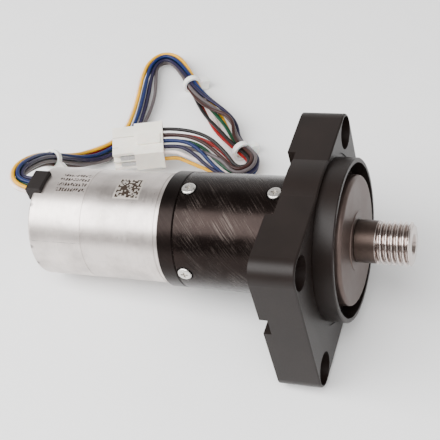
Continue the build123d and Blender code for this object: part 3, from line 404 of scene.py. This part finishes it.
s = Shader("shaft_steel")
x, y, z = s.axes()
rings = s.noise(s.stretched(2400, 40, 40), 1.0, 5.0, 0.7)
fine = s.noise(s.place, 1500.0, 4.0, 0.65)
clouds = s.noise(s.place, 160.0, 4.0, 0.6)
bright = s.ramp(x, 15.6 * MM, 16.0 * MM)
collar_colour = rgb(0.06, 0.042, 0.035)
thread_colour = rgb(0.66, 0.59, 0.56)
dark_tone = s.mix(s.ramp(clouds, 0.35, 0.65), shade(collar_colour, 0.8), shade(collar_colour, 1.2))
light_tone = s.mix(s.ramp(clouds, 0.35, 0.7), shade(thread_colour, 0.85), shade(thread_colour, 1.1))
# painted shade: the thread steel is darkened below its crest radius, in the helical groove and inside
# the centre drill, and more faintly on the end face
from_axis = s.math("SQRT", s.math("ADD", s.math("MULTIPLY", y, y), s.math("MULTIPLY", z, z)))
shade_below_crest = s.ramp(from_axis, 7.0 * MM, 7.9 * MM, 0.75, 0.0)
groove_shade = s.math("MULTIPLY", shade_below_crest, s.ramp(x, 28.0 * MM, 28.25 * MM, 1.0, 0.35))
light_tone = s.mix(groove_shade, light_tone, rgb(0.25, 0.2, 0.18))
tone = s.mix(bright, dark_tone, light_tone)
rough = s.math("ADD", s.ramp(bright, 0.0, 1.0, 0.42, 0.2), s.ramp(fine, 0.3, 0.7, -0.04, 0.06))
s.bump(s.math("ADD", s.math("MULTIPLY", rings, 0.6), s.math("MULTIPLY", fine, 0.4)), 0.14)
shaft_material = s.finish(tone, rough, s.ramp(bright, 0.0, 1.0, 0.8, 1.0))

# The real thread is one helical groove, so the shaft is remade with it.
THREAD_R = 8.0
THREAD_ROOT_R = 6.85
THREAD_PITCH = 2.0
THREAD_START = 15.9
THREAD_CREST_X = 17.0
CREST_HALF, FLANK_W = 0.14, 0.68
RUN_IN = 0.35
NECK_R = 7.75
END_ROUND = 1.1
SHAFT_END = 28.3


def thread_radius(x, angle):
    """Radius of the threaded end in mm, at x and at an angle round it."""
    turn = (x - THREAD_CREST_X) / THREAD_PITCH - angle / (2 * math.pi)
    from_crest = abs((turn + 0.5) % 1.0 - 0.5) * THREAD_PITCH
    groove = min(max((from_crest - CREST_HALF) / FLANK_W, 0.0), 1.0)
    groove = groove * groove * (3 - 2 * groove) * 0.35 + groove * 0.65
    run_in = min(max((x - THREAD_START) / RUN_IN, 0.0), 1.0)
    radius = THREAD_R - (THREAD_R - THREAD_ROOT_R) * groove
    if x < THREAD_START + RUN_IN:
        radius = min(radius, NECK_R - 0.55 * run_in)
    end = SHAFT_END - x
    if end < END_ROUND:
        round_off = math.sqrt(max(1 - (1 - end / END_ROUND) ** 2, 0.0))
        radius = min(radius, 6.75 + 1.25 * round_off)
    return radius


def shaft_mesh():
    """Lathe of the whole output shaft, with the helix cut in its threaded end."""
    segments = 144
    # x and radius in mm of the plain part, from the inner end to the thread
    outline = [(-24.3, 0.01)]
    outline += [(-24.3, 5.9), (-24.2, 6.0), (-20.4, 6.0), (-20.4, 8.5)]
    outline += [(8.3, 8.5), (8.3, 7.55), (8.5, NECK_R), (THREAD_START, NECK_R)]
    steps = int(round((SHAFT_END - THREAD_START) / 0.1))
    rings = [[(x, r)] * segments for x, r in outline]
    for step in range(1, steps + 1):
        x = THREAD_START + (SHAFT_END - THREAD_START) * step / steps
        rings.append([(x, thread_radius(x, 2 * math.pi * k / segments)) for k in range(segments)])
    # the centre drill
    for x, r in ((SHAFT_END, 4.0), (26.6, 2.0), (23.4, 1.9), (22.4, 0.01)):
        rings.append([(x, r)] * segments)
    mesh = bmesh.new()
    rows = []
    for ring_points in rings:
        row = []
        for k, (x, r) in enumerate(ring_points):
            angle = 2 * math.pi * k / segments
            row.append(mesh.verts.new((x * MM, r * MM * math.cos(angle), r * MM * math.sin(angle))))
        rows.append(row)
    for first, second in zip(rows, rows[1:]):
        for k in range(segments):
            mesh.faces.new((first[k], first[(k + 1) % segments], second[(k + 1) % segments], second[k]))
    mesh.faces.new(rows[0])
    mesh.faces.new(list(reversed(rows[-1])))
    bmesh.ops.recalc_face_normals(mesh, faces=mesh.faces)
    data = bpy.data.meshes.new("output_shaft_threaded")
    mesh.to_mesh(data)
    mesh.free()
    for polygon in data.polygons:
        polygon.use_smooth = True
    data.set_sharp_from_angle(angle=math.radians(40))
    return data


shaft = bpy.data.objects.new("output_shaft_threaded", shaft_mesh())
bpy.context.scene.collection.objects.link(shaft)
shaft.data.materials.append(shaft_material)
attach(shaft, "output")
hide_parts("output_shaft")

# ---- screws, rubber, inner parts ----------------------------------------------------------
screw_names = ["gearbox_front_screws", "gearbox_rear_screws", "motor_mount_screws"]
dress(plain_metal("screw_steel", rgb(0.62, 0.6, 0.57), 0.26, grain=1200, depth=0.2), *screw_names)
rubber_colour = rgb(0.010, 0.0075, 0.007)
rubber = moulded("black_rubber", rubber_colour, 0.6, grain=900, depth=0.35, Specular_IOR_Level=0.2)
dress(rubber, "wire_grommet", "shaft_seal")
dress(plain_metal("cast_aluminium", rgb(0.6, 0.6, 0.6), 0.45, grain=700, depth=0.3), "front_bell")
dress(plain_metal("spring_steel", rgb(0.14, 0.13, 0.12), 0.4), "retaining_ring")
dress(plain_metal("lamination_steel", rgb(0.32, 0.32, 0.33), 0.42), "rotor_core", "stator_core")
dress(moulded("winding_copper", rgb(0.5, 0.17, 0.05), 0.3, grain=2600, depth=0.5), "stator_windings")
dress(plain_metal("magnet_nickel", rgb(0.42, 0.41, 0.4), 0.3), "rotor_magnets")
dress(moulded("board_green", rgb(0.02, 0.15, 0.06), 0.35), "hall_sensor_board")
dress(moulded("sensor_black", rgb(0.02, 0.02, 0.02), 0.5), "hall_sensors")
dress(plain_metal("terminal_tin", rgb(0.62, 0.61, 0.6), 0.3), "connector_terminals")
gear_names = ["bearing_spacer", "rotor_shaft", "motor_pinion", "stage1_carrier", "stage2_carrier"]
gear_names += ["stage2_sun", "stage1_planet_pins", "stage2_planet_pins"]
gear_names += [f"stage{stage}_planet_{number}" for stage in (1, 2) for number in (1, 2, 3)]
dress(plain_metal("gear_steel", rgb(0.5, 0.49, 0.475), 0.32), *gear_names)
bearing_places = ("motor_front", "motor_rear", "output_front", "output_rear")
bearing_pieces = ("inner_ring", "outer_ring", "balls")
bearing_names = [f"{place}_bearing_{piece}" for place in bearing_places for piece in bearing_pieces]
dress(turned_metal("bearing_steel", rgb(0.6, 0.6, 0.6), 0.2), *bearing_names)

# ---- connector and ties -------------------------------------------------------------------
connector_colour = rgb(0.92, 0.86, 0.76)
nylon = {"grain": 700, "depth": 0.12, "Subsurface_Weight": 0.12, "Subsurface_Scale": 0.003}
dress(moulded("connector_nylon", connector_colour, 0.4, **nylon), "connector_housing")
TIES = ["cable_tie_motor", "cable_tie_loop", "cable_tie_fold"]
clear = {"grain": 900, "depth": 0.15, "Subsurface_Weight": 0.2, "Subsurface_Scale": 0.002}
dress(moulded("tie_nylon", rgb(0.84, 0.84, 0.8), 0.35, **clear), *TIES)

# ---- harness ------------------------------------------------------------------------------
WIRE_D = 1.6
# middle of the bundle from the grommet to the plug, in mm
BUNDLE_ROUTE = [
    (-118.5, 0.0, 19.3),
    (-124.4, 0.0, 19.3),
    (-128.0, 5.4, 19.5),
    (-128.0, 12.5, 17.6),
    (-129.2, 25.0, 9.2),
    (-130.0, 36.5, -2.5),
    (-128.9, 45.5, -11.3),
    (-124.6, 52.0, -15.2),
    (-118.7, 58.5, -16.8),
    (-114.8, 67.1, -17.4),
    (-115.0, 79.2, -17.6),
    (-117.6, 93.9, -17.0),
    (-121.0, 108.1, -16.1),
    (-121.2, 117.0, -15.8),
    (-117.0, 124.4, -16.2),
    (-109.2, 124.0, -17.0),
    (-102.0, 114.8, -18.3),
    (-91.2, 100.1, -20.0),
    (-80.7, 90.0, -21.7),
    (-73.1, 81.9, -22.7),
    (-66.3, 73.6, -23.6),
    (-58.2, 67.0, -24.3),
    (-54.8, 62.6, -24.3),
    (-54.9, 57.0, -24.0),
    (-60.4, 53.4, -23.2),
    (-68.4, 55.6, -20.0),
    (-78.6, 60.2, -14.3),
]
# where each wire enters the connector: column and row
PLACES = {
    "black": (2, 1),
    "red": (2, -1),
    "green": (1, -1),
    "blue": (0, 1),
    "brown": (1, 1),
    "grey": (0, -1),
    "purple": (-1, 1),
    "white": (-2, 1),
    "yellow": (-2, -1),
}
# order of the wires round the one in the middle, at even steps from the first angle above level
FIRST_ANGLE, ANGLE_STEP = 20, 45
MIDDLE = "green"
AROUND = ["white", "yellow", "blue", "purple", "grey", "brown", "black", "red"]
# the bundle at each point of the route but the last: turn, shift, lift, half width, half height
BUNDLE_SHAPE = [
    (-20, 0.0, 0.0, 3.9, 1.35),
    (-10, 0.0, 0.0, 3.1, 1.9),
    (0, 0.3, 0.0, 2.8, 2.4),
    (0, 0.0, 0.0, 2.5, 2.4),
    (0, 0.0, 0.0, 2.3, 2.3),
    (0, 0.0, 0.0, 2.3, 2.3),
    (0, 0.0, 0.0, 3.0, 2.4),
    (0, 0.3, 0.0, 4.8, 2.2),
    (0, 0.2, 0.0, 4.5, 2.2),
    (0, 0.0, 0.0, 4.0, 2.0),
    (0, -0.3, 0.0, 3.4, 2.0),
    (0, -0.8, 0.0, 3.4, 2.0),
    (0, -1.4, 0.0, 3.0, 2.1),
    (0, -1.2, 0.0, 2.9, 2.1),
    (0, -1.0, 0.0, 2.9, 2.1),
    (0, -0.8, 0.0, 2.8, 2.1),
    (-30, 0.0, 0.0, 2.4, 2.3),
    (-75, 0.0, 0.0, 2.3, 2.3),
    (-120, 0.3, 0.5, 4.6, 2.4),
    (-150, 0.6, 0.6, 5.2, 2.4),
    (-150, 0.0, 0.0, 2.3, 2.3),
    (-150, 0.4, 0.0, 2.3, 2.3),
    (-150, 0.6, 0.3, 2.3, 2.5),
    (-150, 0.6, 0.4, 2.3, 2.5),
    (-150, 0.6, 0.6, 2.5, 2.5),
    (-150, -1.0, 0.6, 5.2, 2.2),
]
# wires that stray from the bundle: across and up, at one point of the route
STRAYS = {
    ("blue", 6): (-1.0, -0.2),
    ("blue", 7): (-1.0, 0.0),
    ("grey", 10): (-1.4, 0.3),
    ("grey", 11): (-2.8, 0.4),
    ("grey", 12): (-1.6, 0.2),
    ("grey", 14): (0.6, 0.2),
    ("brown", 18): (0.8, 2.0),
    ("brown", 19): (4.6, 1.6),
    ("black", 24): (-0.8, 0.3),
    ("red", 24): (-1.4, 0.2),
    ("white", 25): (4.6, -0.8),
    ("yellow", 25): (3.5, -0.6),
    ("blue", 25): (-1.4, 0.6),
    ("black", 25): (-1.0, 0.8),
    ("red", 25): (-0.6, -0.4),
    ("brown", 25): (-1.8, -0.6),
    ("grey", 25): (-4.0, 1.2),
}
COLOURS = {
    "black": rgb(0.008, 0.006, 0.006),
    "red": rgb(0.24, 0.008, 0.007),
    "green": rgb(0.004, 0.045, 0.018),
    "blue": rgb(0.003, 0.013, 0.075),
    "brown": rgb(0.03, 0.009, 0.007),
    "grey": rgb(0.085, 0.07, 0.072),
    "purple": rgb(0.01, 0.007, 0.03),
    "white": rgb(0.82, 0.7, 0.66),
    "yellow": rgb(0.68, 0.34, 0.004),
}
# the connector: centre, turn about the upright axis, and sizes in mm
CONNECTOR_CENTRE = (-102.5, 55.5)
CONNECTOR_TURN = math.radians(21.0)
CONNECTOR_L, CONNECTOR_H, CONNECTOR_BOTTOM, CONNECTOR_PITCH = 21.8, 9.2, 7.6, 3.7
# how far a wire runs straight before the connector, and how far it goes in
LEAD_IN, INSERTED = 5.0, 3.0
# the surface the object lies on: its height at one x, and its fall along x
GROUND_X, GROUND_Z, GROUND_SLOPE = -16.0, -35.5, 0.145
run_x, run_y = math.cos(CONNECTOR_TURN), math.sin(CONNECTOR_TURN)
connector_x = Vector((run_x, run_y, -GROUND_SLOPE * run_x)).normalized()
connector_up = Vector((GROUND_SLOPE, 0, 1)).normalized()
connector_y = connector_up.cross(connector_x).normalized()
connector_up = connector_x.cross(connector_y)
ground = GROUND_Z + (GROUND_X - CONNECTOR_CENTRE[0]) * GROUND_SLOPE
connector_origin = Vector((*CONNECTOR_CENTRE, ground + CONNECTOR_BOTTOM + CONNECTOR_H / 2))


def heading(index):
    """Direction of the bundle at one point of its route."""
    before = Vector(BUNDLE_ROUTE[max(index - 1, 0)])
    after = Vector(BUNDLE_ROUTE[min(index + 1, len(BUNDLE_ROUTE) - 1)])
    return (after - before).normalized()


def lane_at(index, colour):
    """Place of a wire across and up in the bundle at one point of the route, in mm."""
    if index == len(BUNDLE_SHAPE):
        column, row = PLACES[colour]
        return -column * CONNECTOR_PITCH, row * CONNECTOR_PITCH / 2
    turned, shift, lift, half_width, half_height = BUNDLE_SHAPE[index]
    stray = STRAYS.get((colour, index), (0.0, 0.0))
    if colour == MIDDLE:
        return shift + stray[0], lift + stray[1]
    angle = math.radians(FIRST_ANGLE + ANGLE_STEP * AROUND.index(colour) + turned)
    across = shift + half_width * math.cos(angle) + stray[0]
    up = lift + half_height * math.sin(angle) + stray[1]
    return across, up


def connector_point(along, column, row):
    """Point along the connector from its centre, at one column and row of its wires, in mm."""
    across = connector_y * (column * CONNECTOR_PITCH)
    up = connector_up * (row * CONNECTOR_PITCH / 2)
    return connector_origin + connector_x * along + across + up


def wire_points(colour):
    """Control points of one wire from the grommet into the connector, in mm."""
    points = []
    for index, place in enumerate(BUNDLE_ROUTE):
        across, up = lane_at(index, colour)
        side = Vector((0, 0, 1)).cross(heading(index)).normalized()
        rise = heading(index).cross(side)
        points.append(Vector(place) + side * across + rise * up)
    column, row = PLACES[colour]
    points.append(connector_point(CONNECTOR_L / 2 + LEAD_IN, column, row))
    points.append(connector_point(CONNECTOR_L / 2 - INSERTED, column, row))
    return points


def wire(colour):
    """One visual wire. Returns it and its first point."""
    curve = bpy.data.curves.new(f"harness_{colour}", "CURVE")
    curve.dimensions = "3D"
    curve.resolution_u = 10
    curve.bevel_depth = WIRE_D / 2 * MM
    curve.bevel_resolution = 5
    curve.use_fill_caps = True
    spline = curve.splines.new("NURBS")
    points = wire_points(colour)
    spline.points.add(len(points) - 1)
    for place, point in zip(points, spline.points):
        point.co = (*(place * MM), 1.0)
    spline.order_u = 3
    spline.use_endpoint_u = True
    obj = bpy.data.objects.new(f"harness_{colour}", curve)
    bpy.context.scene.collection.objects.link(obj)
    s = Shader(f"insulation_{colour}")
    fine = s.noise(s.place, 900.0, 3.0, 0.6)
    broad = s.noise(s.place, 110.0, 3.0, 0.6)
    tone = s.mix(s.ramp(broad, 0.35, 0.65), shade(COLOURS[colour], 0.82), shade(COLOURS[colour], 1.12))
    s.bump(fine, 0.1)
    rough = s.ramp(broad, 0.3, 0.7, 0.3, 0.42)
    curve.materials.append(s.finish(tone, rough, 0.0, Specular_IOR_Level=0.3))
    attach(obj, "housing")
    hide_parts(f"wire_{colour}")
    return obj, points[0]


for colour in PLACES:
    obj, start = wire(colour)

# ---- floor --------------------------------------------------------------------------------
FLOOR_Z = -35.6
FLOOR_HALF = 2.5
floor_data = bpy.data.meshes.new("floor")
corners = []
for x_side, y_side in ((-1, -1), (1, -1), (1, 1), (-1, 1)):
    x, y = x_side * FLOOR_HALF, y_side * FLOOR_HALF
    corners.append((x, y, FLOOR_Z * MM + (GROUND_X * MM - x) * GROUND_SLOPE))
floor_data.from_pydata(corners, [], [(0, 1, 2, 3)])
floor = bpy.data.objects.new("floor", floor_data)
bpy.context.scene.collection.objects.link(floor)
s = Shader("floor_white")
grain = s.noise(s.place, 60.0, 3.0)
floor_data.materials.append(s.finish(s.mix(grain, rgb(0.88, 0.88, 0.88), rgb(0.92, 0.92, 0.92)), 0.8))
